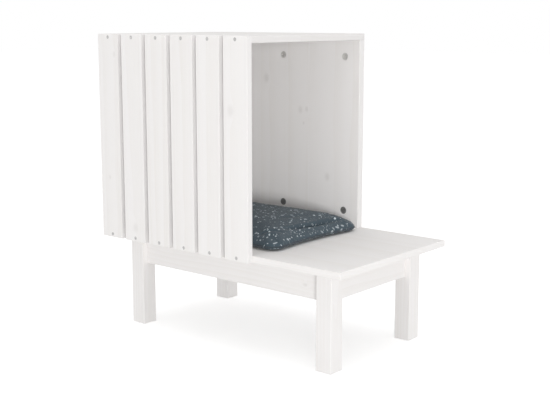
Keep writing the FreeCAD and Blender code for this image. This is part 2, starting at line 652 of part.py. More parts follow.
def build_cushion():
    """The loose cushion: a flat underside, a seam all round and a crowned top."""
    sheet = doc.sizes
    room_width = sheet.overall_width - sheet.slat_thickness - sheet.side_thickness
    width = room_width - sheet.cushion_gap_left - sheet.cushion_gap_right
    depth = sheet.house_depth - sheet.back_thickness - sheet.cushion_gap_back + sheet.cushion_overhang
    crown_run = (width - sheet.cushion_crown) / 2
    rise = sheet.cushion_height - sheet.cushion_seam
    profile = []
    for step in range(FOOT_STEPS):
        angle = math.pi / 2 * step / FOOT_STEPS
        inset = sheet.cushion_foot * (1 - math.sin(angle))
        profile.append((inset, sheet.cushion_seam * (1 - math.cos(angle))))
    for step in range(CROWN_STEPS + 1):
        angle = math.pi / 2 * step / CROWN_STEPS
        inset = crown_run * (1 - math.cos(angle))
        profile.append((inset, sheet.cushion_seam + rise * math.sin(angle)))
    sections = []
    for inset, level in profile:
        share = 1 - 2 * inset / width
        radius = sheet.cushion_corner * share
        draw = sheet.cushion_draw * share
        sections.append(cushion_outline(width / 2 - inset, depth / 2 - inset, radius, draw, level))
    cushion = doc.addObject("Part::Feature", "cushion")
    cushion.Label = "cushion"
    cushion.Shape = Part.makeLoft(sections, True, False, False, SKIN_DEGREE)
    middle_x = f"(({SLAT_INNER} + sizes.cushion_gap_left + {SIDE_INNER} - sizes.cushion_gap_right) / 2)"
    middle_y = f"(({HOUSE_FRONT} - sizes.cushion_overhang + {BACK_INNER} - sizes.cushion_gap_back) / 2)"
    bind_place(cushion, (middle_x, middle_y, f"({FLOOR} + sizes.cushion_lift)"))
    return cushion


def build_house():
    """Walls, roof and slats with their fixings."""
    nodes = [build_roof()]
    for wall in (SIDE_WALL, BACK_PANEL):
        nodes += [build_wall(wall), build_cams(wall), build_cam_bolts(wall), build_dowels(wall)]
    nodes += [build_slat(index) for index in range(count_of("slat_count"))]
    nodes.append(build_slat_screws("slat_screws_lower", f"({UNDERSIDE} + sizes.bench_thickness / 2)"))
    nodes.append(build_slat_screws("slat_screws_upper", f"({CEILING} + sizes.roof_thickness / 2)"))
    return nodes


def build_bench():
    """Bench top, legs, aprons and what ties them together."""
    nodes = [build_bench_top()]
    for name, side, end, quarter_turns in CORNERS:
        nodes.append(build_leg(name, side, end))
        nodes.append(build_corner_block(name, side, end, quarter_turns))
    for name, along_y, sign in (
        ("apron_left", True, -1),
        ("apron_right", True, 1),
        ("apron_front", False, -1),
        ("apron_rear", False, 1),
    ):
        nodes.append(build_apron(name, along_y, sign))
    nodes += [build_block_screws(), build_top_screws()]
    nodes += build_hanger_hardware()
    return nodes


def check(nodes):
    """Stops the build if anything failed, is empty or cuts nothing."""
    for thing in doc.Objects:
        if "Invalid" in thing.State or "Error" in thing.State:
            raise RuntimeError(f"{thing.Label} failed: {thing.State}")
        if thing.TypeId.startswith("PartDesign::Subtractive"):
            if thing.Shape.Volume >= thing.BaseFeature.Shape.Volume:
                raise RuntimeError(f"{thing.Label} of {thing.getParent().Label} cuts nothing")
    for node in nodes:
        if node.Shape.isNull() or not node.Shape.isValid():
            raise RuntimeError(f"{node.Label} has no valid shape")


def write(nodes):
    """Writes every node to its own file."""
    os.makedirs("parts", exist_ok=True)
    for node in nodes:
        node.Shape.exportStep(f"parts/{node.Label}.step")
        print(f"{node.Label}: {len(node.Shape.Solids)} solid(s), {node.Shape.Volume / 1000:.2f} cm3")


fill_sheet()
all_nodes = build_bench() + build_house() + [build_cushion()]
doc.recompute()
check(all_nodes)
write(all_nodes)
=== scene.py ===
import logging
import math
from dataclasses import dataclass, field
from enum import Enum
from typing import Any

import bpy
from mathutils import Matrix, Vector, geometry, noise


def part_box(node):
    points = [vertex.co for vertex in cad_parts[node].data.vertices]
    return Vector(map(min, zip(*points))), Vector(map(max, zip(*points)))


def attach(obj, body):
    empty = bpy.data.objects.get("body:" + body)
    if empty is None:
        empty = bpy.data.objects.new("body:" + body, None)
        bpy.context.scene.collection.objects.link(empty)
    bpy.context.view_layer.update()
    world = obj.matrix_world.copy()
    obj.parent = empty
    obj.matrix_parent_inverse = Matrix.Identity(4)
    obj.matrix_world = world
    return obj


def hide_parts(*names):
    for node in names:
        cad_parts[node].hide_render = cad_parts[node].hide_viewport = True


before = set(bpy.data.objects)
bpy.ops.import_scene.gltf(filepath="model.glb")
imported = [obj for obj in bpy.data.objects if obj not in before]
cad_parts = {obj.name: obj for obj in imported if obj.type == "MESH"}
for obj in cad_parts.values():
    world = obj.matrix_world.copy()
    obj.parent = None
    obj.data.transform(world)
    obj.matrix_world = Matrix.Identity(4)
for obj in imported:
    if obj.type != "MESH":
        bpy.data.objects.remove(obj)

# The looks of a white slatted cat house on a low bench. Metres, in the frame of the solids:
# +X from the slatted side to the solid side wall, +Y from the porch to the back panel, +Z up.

Material = bpy.types.Material
Piece = bpy.types.Object
Socket = bpy.types.NodeSocket
Tree = bpy.types.NodeTree

LOG = logging.getLogger("cat_house")
MM = 0.001

# Sockets of Blender's Mix node when it mixes colours.
MIX_FACTOR, MIX_FIRST, MIX_SECOND, MIX_RESULT = 0, 6, 7, 2

# Scale of Blender's wave texture at which its waves are one metre long.
ONE_WAVE = math.pi / 10

# Middle of a random colour, taken off so that it points either way.
MIDDLE_COLOUR = (0.5, 0.5, 0.5)

# Roof and bench top start at the inner side of the slats and are glued from five staves.
BOARDS_LEFT_MM = -167.0
BOARD_STAVE_MM = 69.4


class Axis(Enum):
    """A direction of the object's frame, as an index of a vector."""

    X = 0
    Y = 1
    Z = 2


def hex_to_linear(code: str) -> tuple[float, float, float, float]:
    """Turns an sRGB hex colour into a linear one.

    Args:
        code: Six hex digits, with or without a leading #.

    Returns:
        Red, green, blue and an alpha of 1.
    """
    digits = code.lstrip("#")
    shares = [int(digits[place:place + 2], 16) / 255 for place in (0, 2, 4)]
    red, green, blue = [s / 12.92 if s <= 0.04045 else ((s + 0.055) / 1.055) ** 2.4 for s in shares]
    return red, green, blue, 1.0


def add_node(
    tree: Tree, kind: str, inputs: dict[Any, Any] | None = None, **settings: Any
) -> bpy.types.Node:
    """Adds a node, sets its properties and fills its inputs.

    Args:
        tree: The node tree to add to.
        kind: The node's type name without its "ShaderNode" prefix.
        inputs: Input names or numbers with a value, or with an output socket to link from.
        settings: Properties of the node itself.

    Returns:
        The new node.
    """
    node = tree.nodes.new(f"ShaderNode{kind}")
    for name, value in settings.items():
        setattr(node, name, value)
    for key, value in (inputs or {}).items():
        if isinstance(value, Socket):
            tree.links.new(value, node.inputs[key])
        else:
            node.inputs[key].default_value = value
    return node


def empty_material(name: str) -> Material:
    """Makes a material with an empty node tree.

    Args:
        name: The material's name.

    Returns:
        The new material.
    """
    material = bpy.data.materials.new(name)
    material.use_nodes = True
    material.node_tree.nodes.clear()
    return material


def finish_material(material: Material, shader: Socket) -> Material:
    """Links a shader to a material's output.

    Args:
        material: The material to finish.
        shader: The output socket of its shader.

    Returns:
        The same material.
    """
    add_node(material.node_tree, "OutputMaterial", {"Surface": shader})
    return material


def select_only(piece: Piece) -> None:
    """Selects one object and nothing else, and makes it active.

    Args:
        piece: The object that operators are to act on.
    """
    bpy.ops.object.select_all(action="DESELECT")
    piece.select_set(True)
    bpy.context.view_layer.objects.active = piece


def dress(nodes: list[str], material: Material) -> None:
    """Gives solids of the frame a material.

    Args:
        nodes: Names of the solids.
        material: Their finish.
    """
    for name in nodes:
        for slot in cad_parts[name].material_slots:
            slot.material = material
        LOG.info("%s: %s", name, material.name)


@dataclass(frozen=True)
class Knot:
    """A knot under the paint: a faint oval with the grain bent round it."""

    across_mm: float
    along_mm: float
    radius_mm: float
    oval: float = 1.4  # length over width
    halo: tuple[float, float] = (0.4, 3.0)  # radii between which the grain straightens out
    heart: tuple[float, float] = (0.2, 1.3)  # radii between which the tone fades out
    heart_tone: float = 0.55

    def add_nodes(self, tree: Tree, across: Socket, along: Socket) -> tuple[Socket, Socket]:
        """Adds the nodes that find the knot.

        Args:
            tree: The material's node tree.
            across: Place across the grain.
            along: Place along the grain.

        Returns:
            How far a point lies in the halo, and the tone of the heart there.
        """
        radius = self.radius_mm * MM
        side = add_node(tree, "Math", {0: across, 1: self.across_mm * MM}, operation="SUBTRACT").outputs[0]
        side = add_node(tree, "Math", {0: side, 1: radius}, operation="DIVIDE").outputs[0]
        rise = add_node(tree, "Math", {0: along, 1: self.along_mm * MM}, operation="SUBTRACT").outputs[0]
        rise = add_node(tree, "Math", {0: rise, 1: self.oval * radius}, operation="DIVIDE").outputs[0]
        offset = add_node(tree, "CombineXYZ", {0: side, 1: rise}).outputs[0]
        distance = add_node(tree, "VectorMath", {0: offset}, operation="LENGTH").outputs["Value"]
        halo, heart = (
            add_node(
                tree,
                "MapRange",
                {"Value": distance, "From Min": near, "From Max": far, "To Min": tone, "To Max": 0.0},
                interpolation_type="SMOOTHSTEP",
            ).outputs[0]
            for (near, far), tone in ((self.halo, 1.0), (self.heart, self.heart_tone))
        )
        return halo, heart


@dataclass(frozen=True)
class PaintedEdgeShade:
    """Painted shade on the sawn edges across the depth of the house: the faces there are greyed to look
    shaded.
    """

    start_mm: float  # front edge of the first board
    width_mm: float
    pitch_mm: float
    rounding_mm: float = 1.0
    # Colour of the painted shade on the edge faces.
    shade: str = "#EAE8E7"

    def add_nodes(self, tree: Tree, depth: Socket) -> Socket:
        """Adds the nodes that find the edges.

        Args:
            tree: The material's node tree.
            depth: Place along the depth of the house.

        Returns:
            An output that is 1 on an edge and 0 on the face beside it.
        """
        middle = (self.start_mm + self.width_mm / 2) * MM
        half_pitch = self.pitch_mm * MM / 2
        half_width = self.width_mm * MM / 2
        rounding = self.rounding_mm * MM
        side = add_node(tree, "Math", {0: depth, 1: middle}, operation="SUBTRACT").outputs[0]
        side = add_node(tree, "Math", {0: side, 1: half_pitch, 2: -half_pitch}, operation="WRAP").outputs[0]
        away = add_node(tree, "Math", {0: side}, operation="ABSOLUTE").outputs[0]
        return add_node(
            tree,
            "MapRange",
            {"Value": away, "From Min": half_width - rounding, "From Max": half_width - rounding / 4},
        ).outputs[0]


@dataclass(frozen=True)
class PaintedPine:
    """Pine boards glued from staves, sanded and painted matt white.

    The paint is thin enough for growth rings and fibres to stand out a little, and for knots to show
    through as faint, warmer ovals. Every stave has its own tone and its own rings.
    """

    name: str
    grain: Axis
    across: Axis
    stave_mm: float
    start_mm: float = 0.0
    knots: tuple[Knot, ...] = ()
    # Edge faces greyed as painted shade, where this is set.
    painted_edge_shade: PaintedEdgeShade | None = None
    paint: str = "#F4F2F1"
    grain_shade: str = "#EEEBE8"
    knot_shade: str = "#E0DDDB"
    pith_side_mm: float = 30.0  # the pith lies up to this far aside of a stave
    pith_depth_mm: tuple[float, float] = (45.0, 95.0)  # and this far behind the frame's middle
    trunk_mm: float = 3000.0  # staves come from anywhere along this length of trunk
    ring_mm: float = 7.0
    ring_stretch: float = 0.12  # how fast the pattern changes along the grain
    wander_mm: float = 40.0
    wander_depth_mm: float = 26.0
    knot_bend_mm: float = 8.0
    fibre_mm: float = 1.6  # real fibres are finer; drawn this coarse so that they show
    fibre_stretch: float = 0.02
    clouds_per_metre: float = 18.0
    grain_span: tuple[float, float] = (0.05, 0.42)  # weakest and strongest grain
    grain_tone: float = 0.75  # of the strongest grain
    stave_tone: float = 0.22  # difference from stave to stave
    roughness: float = 0.8
    roughness_spread: tuple[float, float] = (-0.06, 0.08)
    gloss: float = 0.2  # of the paint film; 0.5 is a full varnish
    relief_mm: float = 0.12
    ring_relief: float = 0.5  # beside that of the fibres
    bump: float = 0.35

    def build(self) -> Material:
        """Makes the material.

        Returns:
            The finished material.
        """
        material = empty_material(self.name)
        tree = material.node_tree
        place = add_node(tree, "TexCoord").outputs["Object"]
        axes = add_node(tree, "SeparateXYZ", {0: place}).outputs
        side, away, along, chance = self.add_staves(tree, axes)
        halo, heart = self.add_knots(tree, axes)
        rings, fibres, grain = self.add_grain(tree, (side, away, along), halo)

        weakest, strongest = self.grain_span
        shade = add_node(
            tree,
            "MapRange",
            {"Value": grain, "From Min": weakest, "From Max": strongest, "To Max": self.grain_tone},
        ).outputs[0]
        tone = add_node(
            tree, "Math", {0: chance, 1: self.stave_tone, 2: shade}, operation="MULTIPLY_ADD", use_clamp=True
        ).outputs[0]
        layers = [(tone, self.grain_shade), (heart, self.knot_shade)]
        # Painted shade on the edge faces.
        if self.painted_edge_shade:
            layers.append((self.painted_edge_shade.add_nodes(tree, axes[Axis.Y.value]), self.painted_edge_shade.shade))
        colour: Any = hex_to_linear(self.paint)
        for factor, code in layers:
            colour = add_node(
                tree,
                "Mix",
                {MIX_FACTOR: factor, MIX_FIRST: colour, MIX_SECOND: hex_to_linear(code)},
                data_type="RGBA",
            ).outputs[MIX_RESULT]

        smoothest, roughest = (self.roughness + spread for spread in self.roughness_spread)
        rough = add_node(
            tree, "MapRange", {"Value": fibres, "To Min": smoothest, "To Max": roughest}
        ).outputs[0]
        relief = add_node(
            tree, "Math", {0: rings, 1: self.ring_relief, 2: fibres}, operation="MULTIPLY_ADD"
        ).outputs[0]
        normal = add_node(
            tree, "Bump", {"Strength": self.bump, "Distance": self.relief_mm * MM, "Height": relief}
        ).outputs[0]
        shader = add_node(
            tree,
            "BsdfPrincipled",
            {"Base Color": colour, "Roughness": rough, "Specular IOR Level": self.gloss, "Normal": normal},
        ).outputs[0]
        return finish_material(material, shader)

    def add_staves(self, tree: Tree, axes: Any) -> tuple[Socket, Socket, Socket, Socket]:
        """Adds the nodes that cut the boards into staves, each from its own place in a trunk.

        Args:
            tree: The material's node tree.
            axes: The outputs with a point's X, Y and Z.

        Returns:
            A point's place in the trunk, to the side of the pith, away from it and along it, and a
            number drawn for its stave.
        """
        width = self.stave_mm * MM
        nearest, farthest = (depth * MM for depth in self.pith_depth_mm)
        depth_axis = next(axis for axis in Axis if axis not in (self.grain, self.across))
        start = add_node(
            tree, "Math", {0: axes[self.across.value], 1: self.start_mm * MM}, operation="SUBTRACT"
        ).outputs[0]
        staves = add_node(tree, "Math", {0: start, 1: width}, operation="DIVIDE").outputs[0]
        number = add_node(tree, "Math", {0: staves}, operation="FLOOR").outputs[0]
        within = add_node(tree, "Math", {0: staves}, operation="FRACT").outputs[0]
        chance = add_node(tree, "TexWhiteNoise", {"W": number}, noise_dimensions="1D").outputs
        draws = add_node(tree, "SeparateColor", {0: chance["Color"]}).outputs
        side = add_node(
            tree, "Math", {0: within, 1: width, 2: -width / 2}, operation="MULTIPLY_ADD"
        ).outputs[0]
        side = add_node(
            tree, "Math", {0: draws[0], 1: self.pith_side_mm * MM, 2: side}, operation="MULTIPLY_ADD"
        ).outputs[0]
        away = add_node(
            tree, "Math", {0: draws[1], 1: farthest - nearest, 2: nearest}, operation="MULTIPLY_ADD"
        ).outputs[0]
        away = add_node(tree, "Math", {0: away, 1: axes[depth_axis.value]}, operation="ADD").outputs[0]
        along = add_node(
            tree,
            "Math",
            {0: draws[2], 1: self.trunk_mm * MM, 2: axes[self.grain.value]},
            operation="MULTIPLY_ADD",
        ).outputs[0]
        return side, away, along, chance["Value"]

    def add_knots(self, tree: Tree, axes: Any) -> tuple[Any, Any]:
        """Adds the nodes of every knot.

        Args:
            tree: The material's node tree.
            axes: The outputs with a point's X, Y and Z.

        Returns:
            How far a point lies in halos, where the grain bends, and the tone of a heart there.
        """
        halos: Any = 0.0
        hearts: Any = 0.0
        for knot in self.knots:
            halo, heart = knot.add_nodes(tree, axes[self.across.value], axes[self.grain.value])
            halos = add_node(tree, "Math", {0: halos, 1: halo}, operation="ADD").outputs[0]
            hearts = add_node(tree, "Math", {0: hearts, 1: heart}, operation="MAXIMUM").outputs[0]
        return halos, hearts

    def add_grain(
        self, tree: Tree, trunk: tuple[Socket, Socket, Socket], halo: Any
    ) -> tuple[Socket, Socket, Socket]:
        """Adds the nodes of growth rings and fibres.

        Args:
            tree: The material's node tree.
            trunk: A point's place in the trunk, to the side of the pith, away from it and along it.
            halo: How far the point lies in the halo of a knot.

        Returns:
            The rings, the fibres, and how strongly both show there.
        """
        side, away, along = trunk
        wood = add_node(tree, "CombineXYZ", {0: side, 1: away, 2: along}).outputs[0]
        long_wood, thin_wood = (
            add_node(tree, "VectorMath", {0: wood, 1: (1.0, 1.0, stretch)}, operation="MULTIPLY").outputs[0]
            for stretch in (self.ring_stretch, self.fibre_stretch)
        )
        wander = add_node(
            tree, "TexNoise", {"Vector": long_wood, "Scale": 1 / (self.wander_mm * MM), "Detail": 2.0}
        ).outputs["Fac"]
        bent = add_node(
            tree, "Math", {0: wander, 1: self.wander_depth_mm * MM, 2: side}, operation="MULTIPLY_ADD"
        ).outputs[0]
        bent = add_node(
            tree, "Math", {0: halo, 1: self.knot_bend_mm * MM, 2: bent}, operation="MULTIPLY_ADD"
        ).outputs[0]
        bent_wood = add_node(tree, "CombineXYZ", {0: bent, 1: away, 2: along}).outputs[0]
        rings = add_node(
            tree,
            "TexWave",
            {"Vector": bent_wood, "Scale": ONE_WAVE / (self.ring_mm * MM), "Distortion": 0.0},
            wave_type="RINGS",
            rings_direction="Z",
            wave_profile="SAW",
        ).outputs["Fac"]
        fibres = add_node(
            tree, "TexNoise", {"Vector": thin_wood, "Scale": 1 / (self.fibre_mm * MM), "Detail": 3.0}
        ).outputs["Fac"]
        clouds = add_node(
            tree, "TexNoise", {"Vector": long_wood, "Scale": self.clouds_per_metre, "Detail": 3.0}
        ).outputs["Fac"]
        grain = add_node(tree, "Math", {0: rings, 1: fibres}, operation="MULTIPLY").outputs[0]
        grain = add_node(tree, "Math", {0: grain, 1: clouds}, operation="MULTIPLY").outputs[0]
        return rings, fibres, grain


@dataclass(frozen=True)
class BareWood:
    """Sawn or turned wood with no paint: warm, dull and streaked along its fibres."""

    name: str
    light: str
    dark: str
    grain: Axis
    fibre_mm: float = 1.2
    streak_mm: float = 6.0
    streak_span: tuple[float, float] = (0.32, 0.68)  # lightest and darkest streak
    stretch: float = 0.05  # how fast the pattern changes along the grain
    roughness: float = 0.72
    relief_mm: float = 0.2
    bump: float = 0.4

    def build(self) -> Material:
        """Makes the material.

        Returns:
            The finished material.
        """
        material = empty_material(self.name)
        tree = material.node_tree
        place = add_node(tree, "TexCoord").outputs["Object"]
        stretches = [self.stretch if axis is self.grain else 1.0 for axis in Axis]
        wood = add_node(tree, "VectorMath", {0: place, 1: stretches}, operation="MULTIPLY").outputs[0]
        streaks = add_node(
            tree, "TexNoise", {"Vector": wood, "Scale": 1 / (self.streak_mm * MM), "Detail": 4.0}
        ).outputs["Fac"]
        fibres = add_node(
            tree, "TexNoise", {"Vector": wood, "Scale": 1 / (self.fibre_mm * MM), "Detail": 2.0}
        ).outputs["Fac"]
        lightest, darkest = self.streak_span
        tone = add_node(
            tree, "MapRange", {"Value": streaks, "From Min": lightest, "From Max": darkest}
        ).outputs[0]
        colour = add_node(
            tree,
            "Mix",
            {MIX_FACTOR: tone, MIX_FIRST: hex_to_linear(self.light), MIX_SECOND: hex_to_linear(self.dark)},
            data_type="RGBA",
        ).outputs[MIX_RESULT]
        normal = add_node(
            tree, "Bump", {"Strength": self.bump, "Distance": self.relief_mm * MM, "Height": fibres}
        ).outputs[0]
        shader = add_node(
            tree, "BsdfPrincipled", {"Base Color": colour, "Roughness": self.roughness, "Normal": normal}
        ).outputs[0]
        return finish_material(material, shader)


@dataclass(frozen=True)
class ZincMetal:
    """Zinc, plated on steel or cast: grey metal, cloudy where the coat is thicker, with a fine grain.

    Pieces low in the house, below a set height, are darker than the rest: a painted reflection of the dark
    things in front of them.
    """

    name: str
    bright: str
    dull: str
    cloud_mm: float
    grit_mm: float
    smooth: float
    rough: float
    # Colour of the painted dark reflection, and the height below which it is painted.
    painted_dark_reflection: str = "#A3A2A1"
    painted_reflection_below_mm: float = 0.0
    relief_mm: float = 0.05
    bump: float = 0.25

    def build(self) -> Material:
        """Makes the material.

        Returns:
            The finished material.
        """
        material = empty_material(self.name)
        tree = material.node_tree
        place = add_node(tree, "TexCoord").outputs["Object"]
        clouds, grit = (
            add_node(
                tree, "TexNoise", {"Vector": place, "Scale": 1 / (size_mm * MM), "Detail": detail}
            ).outputs["Fac"]
            for size_mm, detail in ((self.cloud_mm, 3.0), (self.grit_mm, 2.0))
        )
        height = add_node(tree, "SeparateXYZ", {0: place}).outputs[Axis.Z.value]
        # Below that height the colour turns to the painted dark reflection.
        low = add_node(
            tree, "Math", {0: height, 1: self.painted_reflection_below_mm * MM}, operation="LESS_THAN"
        ).outputs[0]
        colour: Any = hex_to_linear(self.bright)
        for factor, code in ((clouds, self.dull), (low, self.painted_dark_reflection)):
            colour = add_node(
                tree,
                "Mix",
                {MIX_FACTOR: factor, MIX_FIRST: colour, MIX_SECOND: hex_to_linear(code)},
                data_type="RGBA",
            ).outputs[MIX_RESULT]
        rough = add_node(
            tree, "MapRange", {"Value": clouds, "To Min": self.smooth, "To Max": self.rough}
        ).outputs[0]
        normal = add_node(
            tree, "Bump", {"Strength": self.bump, "Distance": self.relief_mm * MM, "Height": grit}
        ).outputs[0]
        shader = add_node(
            tree,
            "BsdfPrincipled",
            {"Base Color": colour, "Metallic": 1.0, "Roughness": rough, "Normal": normal},
        ).outputs[0]
        return finish_material(material, shader)


@dataclass(frozen=True)
class FleckedWeave:
    """Plain-woven polyester in slate grey, scattered with small pale flecks of uneven shape.

    Threads cross under a faint nap, so it is dull from the front and a little lighter at grazing angles.
    """

    name: str
    cloth: str = "#4D5C65"
    cloth_shade: str = "#394750"
    fleck: str = "#CDD6DC"
    fleck_cell_mm: float = 9.2
    fleck_mm: tuple[float, float] = (2.0, 5.2)
    fleck_stretch: float = 0.55  # share of its offset along a fleck that doesn't count, so that it runs on
    fleck_blur_mm: float = 0.3
    fleck_tone: tuple[float, float] = (0.2, 1.0)  # faintest and palest
    speck_cell_mm: float = 6.0
    speck_mm: tuple[float, float] = (0.5, 2.2)
    tears_per_metre: float = 260.0
    tear_mm: float = 4.0  # how far the outline of a fleck is torn
    thread_mm: float = 1.6  # real threads are about half as wide; drawn this coarse so that they show
    thread_runs: tuple[tuple[float, float, float], ...] = ((1.0, 0.0, 0.7), (0.0, 1.0, 0.7))
    slubs_per_metre: float = 90.0
    roughness: float = 0.88
    sheen: float = 0.12
    sheen_roughness: float = 0.5
    relief_mm: float = 0.3
    bump: float = 0.3

    def build(self) -> Material:
        """Makes the material.

        Returns:
            The finished material.
        """
        material = empty_material(self.name)
        tree = material.node_tree
        place = add_node(tree, "TexCoord").outputs["Object"]
        marks = self.add_marks(tree, place)
        threads = self.add_threads(tree, place)
        crossings = float(len(self.thread_runs))
        shade = add_node(
            tree, "MapRange", {"Value": threads, "From Min": -crossings, "From Max": crossings}
        ).outputs[0]
        slubs = add_node(
            tree, "TexNoise", {"Vector": place, "Scale": self.slubs_per_metre, "Detail": 4.0}
        ).outputs["Fac"]
        shade = add_node(tree, "Math", {0: shade, 1: slubs}, operation="MULTIPLY").outputs[0]
        colour: Any = hex_to_linear(self.cloth_shade)
        for factor, code in ((shade, self.cloth), (marks, self.fleck)):
            colour = add_node(
                tree,
                "Mix",
                {MIX_FACTOR: factor, MIX_FIRST: colour, MIX_SECOND: hex_to_linear(code)},
                data_type="RGBA",
            ).outputs[MIX_RESULT]
        normal = add_node(
            tree, "Bump", {"Strength": self.bump, "Distance": self.relief_mm * MM, "Height": threads}
        ).outputs[0]
        shader = add_node(
            tree,
            "BsdfPrincipled",
            {
                "Base Color": colour,
                "Roughness": self.roughness,
                "Sheen Weight": self.sheen,
                "Sheen Roughness": self.sheen_roughness,
                "Normal": normal,
            },
        ).outputs[0]
        return finish_material(material, shader)

    def add_marks(self, tree: Tree, place: Socket) -> Any:
        """Adds the nodes of the pale flecks and the smaller specks between them.

        Args:
            tree: The material's node tree.
            place: A point's place.

        Returns:
            How pale the point is.
        """
        ragged = add_node(
            tree, "TexNoise", {"Vector": place, "Scale": self.tears_per_metre, "Detail": 2.0}
        ).outputs["Color"]
        ragged = add_node(tree, "VectorMath", {0: ragged, 1: MIDDLE_COLOUR}, operation="SUBTRACT").outputs[0]
        ragged = add_node(
            tree, "VectorMath", {0: ragged, "Scale": self.tear_mm * MM}, operation="SCALE"
        ).outputs[0]
        torn = add_node(tree, "VectorMath", {0: place, 1: ragged}, operation="ADD").outputs[0]
        faintest, palest = self.fleck_tone
        marks: Any = 0.0
        for cell_mm, least_mm, most_mm in (
            (self.fleck_cell_mm, *self.fleck_mm),
            (self.speck_cell_mm, *self.speck_mm),
        ):
            cells = add_node(tree, "TexVoronoi", {"Vector": torn, "Scale": 1 / (cell_mm * MM)}).outputs
            draws = add_node(tree, "SeparateColor", {0: cells["Color"]}).outputs
            lay = add_node(
                tree, "VectorMath", {0: cells["Color"], 1: MIDDLE_COLOUR}, operation="SUBTRACT"
            ).outputs[0]
            lay = add_node(tree, "VectorMath", {0: lay}, operation="NORMALIZE").outputs[0]
            away = add_node(
                tree, "VectorMath", {0: torn, 1: cells["Position"]}, operation="SUBTRACT"
            ).outputs[0]
            along = add_node(tree, "VectorMath", {0: away, 1: lay}, operation="DOT_PRODUCT").outputs["Value"]
            eased = add_node(tree, "Math", {0: along, 1: self.fleck_stretch}, operation="MULTIPLY").outputs[0]
            eased = add_node(tree, "VectorMath", {0: lay, "Scale": eased}, operation="SCALE").outputs[0]
            near = add_node(tree, "VectorMath", {0: away, 1: eased}, operation="SUBTRACT").outputs[0]
            near = add_node(tree, "VectorMath", {0: near}, operation="LENGTH").outputs["Value"]
            size = add_node(
                tree,
                "MapRange",
                {"Value": draws[0], "To Min": least_mm * MM / 2, "To Max": most_mm * MM / 2},
            ).outputs[0]
            inside = add_node(tree, "Math", {0: size, 1: near}, operation="SUBTRACT").outputs[0]
            mark = add_node(
                tree, "MapRange", {"Value": inside, "From Max": self.fleck_blur_mm * MM}
            ).outputs[0]
            pale = add_node(
                tree, "MapRange", {"Value": draws[2], "To Min": faintest, "To Max": palest}
            ).outputs[0]
            mark = add_node(tree, "Math", {0: mark, 1: pale}, operation="MULTIPLY").outputs[0]
            marks = add_node(tree, "Math", {0: marks, 1: mark}, operation="MAXIMUM").outputs[0]
        return marks

    def add_threads(self, tree: Tree, place: Socket) -> Any:
        """Adds the nodes of the crossing threads.

        Args:
            tree: The material's node tree.
            place: A point's place.

        Returns:
            The height of the threads there.
        """
        threads: Any = 0.0
        for direction in self.thread_runs:
            run = add_node(
                tree, "VectorMath", {0: place, 1: direction}, operation="DOT_PRODUCT"
            ).outputs["Value"]
            turns = add_node(
                tree, "Math", {0: run, 1: 2 * math.pi / (self.thread_mm * MM)}, operation="MULTIPLY"
            ).outputs[0]
            wave = add_node(tree, "Math", {0: turns}, operation="SINE").outputs[0]
            threads = add_node(tree, "Math", {0: threads, 1: wave}, operation="ADD").outputs[0]
        return threads


@dataclass
class House:
    """Slats, walls, roof and what fastens them."""

    slats: list[str] = field(default_factory=lambda: [f"slat_{number}" for number in range(1, 7)])
    slat_width_mm: float = 58.5
    slat_pitch_mm: float = 68.3
    wall_stave_mm: float = 66.0
    front_mm: float = -100.0
    depth_mm: float = 400.0

    def dress(self, plated: Material, cast: Material, turned: Material) -> None:
        """Gives every piece its finish.

        Args:
            plated: Plated steel, for screws and bolts.
            cast: Cast zinc, for the cam locks.
            turned: Turned wood, for the dowels.
        """
        slat_paint = PaintedPine(
            "white_painted_pine_slats",
            grain=Axis.Z,
            across=Axis.Y,
            stave_mm=self.slat_pitch_mm,
            start_mm=self.front_mm,
            # Painted shade on the slats' side faces in the gaps, and on their front and rear faces.
            painted_edge_shade=PaintedEdgeShade(self.front_mm, self.slat_width_mm, self.slat_pitch_mm),
            knot_shade="#E5E2E0",
            knots=(
                Knot(-59.5, 465.0, 9.0),
                Knot(252.0, 560.0, 5.0),
                Knot(274.0, 311.0, 3.5),
                Knot(201.0, 215.0, 8.0),
            ),
        )
        lit_wall_paint = PaintedPine(
            "white_painted_pine_side_wall",
            grain=Axis.Z,
            across=Axis.Y,
            stave_mm=self.wall_stave_mm,
            start_mm=self.front_mm,
            # Painted shade on the wall's front and rear edges.
            painted_edge_shade=PaintedEdgeShade(self.front_mm, self.depth_mm, 2 * self.depth_mm),
            # Paint lighter than the other boards': painted light that brightens the inside face of the wall,
            # which lies in shade.
            paint="#F8F6F5",
            grain_shade="#F2EFEC",
            knot_shade="#E4E1DF",
            knots=(
                Knot(53.0, 438.0, 6.5),
                Knot(36.0, 440.0, 5.0),
                Knot(148.0, 502.0, 8.0),
                Knot(44.0, 410.0, 3.0),
                Knot(-20.0, 300.0, 7.0),
            ),
        )
        back_paint = PaintedPine(
            "white_painted_pine_back_panel",
            grain=Axis.Z,
            across=Axis.X,
            stave_mm=self.wall_stave_mm,
            start_mm=BOARDS_LEFT_MM,
            knots=(Knot(-60.0, 480.0, 8.0), Knot(95.0, 330.0, 7.0), Knot(20.0, 270.0, 6.0)),
        )
        shaded_roof_paint = PaintedPine(
            "white_painted_pine_roof",
            grain=Axis.Y,
            across=Axis.X,
            stave_mm=BOARD_STAVE_MM,
            start_mm=BOARDS_LEFT_MM,
            # Paint greyer than the other boards': painted shade on the roof's top and front edge.
            paint="#E8E6E5",
            grain_shade="#E2DFDC",
            knot_shade="#D6D3D1",
            knots=(Knot(-40.0, 160.0, 8.0), Knot(110.0, 20.0, 9.0), Knot(60.0, 250.0, 6.0)),
        )
        dress(self.slats, slat_paint.build())
        dress(["side_wall"], lit_wall_paint.build())
        dress(["back_panel"], back_paint.build())
        dress(["roof_board"], shaded_roof_paint.build())
        dress(["slat_screws_lower", "slat_screws_upper", "side_cam_bolts", "back_cam_bolts"], plated)
        dress(["side_cam_locks", "back_cam_locks"], cast)
        dress(["side_dowels", "back_dowels"], turned)


